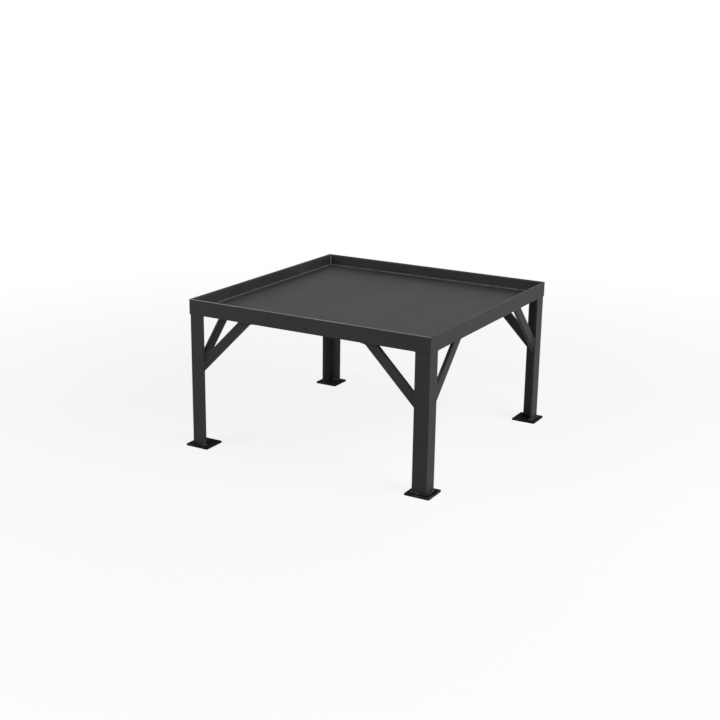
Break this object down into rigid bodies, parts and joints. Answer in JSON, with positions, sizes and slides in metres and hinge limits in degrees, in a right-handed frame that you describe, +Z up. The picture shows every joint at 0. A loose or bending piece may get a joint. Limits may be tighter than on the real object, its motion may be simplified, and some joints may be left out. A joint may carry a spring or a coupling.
{
  "type": "fire pit",
  "caption": "Square welded steel fire pit: a shallow open tray with an angle-steel rim and a sheet floor, on angle legs with diagonal flat-bar braces and square foot plates.",
  "frame": {"origin": "on the ground, under the middle of the square tray", "axes": "+Z up; X and Y along the sides of the square, with the side called front facing -Y"},
  "size_m": [0.725, 0.725, 0.4],
  "materials": {
    "frame_paint": "matt dark-grey heat-resistant paint on rolled steel angle and flat bar",
    "floor_paint": "matt dark-grey heat-resistant paint on steel sheet"
  },
  "bodies": {
    "root": {"tray_floor": "floor_paint", "rim_rail_front": "frame_paint", "rim_rail_right": "frame_paint", "rim_rail_back": "frame_paint", "rim_rail_left": "frame_paint", "leg_front_left": "frame_paint", "leg_front_right": "frame_paint", "leg_back_right": "frame_paint", "leg_back_left": "frame_paint", "foot_plate_front_left": "frame_paint", "foot_plate_front_right": "frame_paint", "foot_plate_back_right": "frame_paint", "foot_plate_back_left": "frame_paint", "brace_front_left": "frame_paint", "brace_front_right": "frame_paint", "brace_right_left": "frame_paint", "brace_right_right": "frame_paint", "brace_back_left": "frame_paint", "brace_back_right": "frame_paint", "brace_left_left": "frame_paint", "brace_left_right": "frame_paint"}
  },
  "joints": []
}
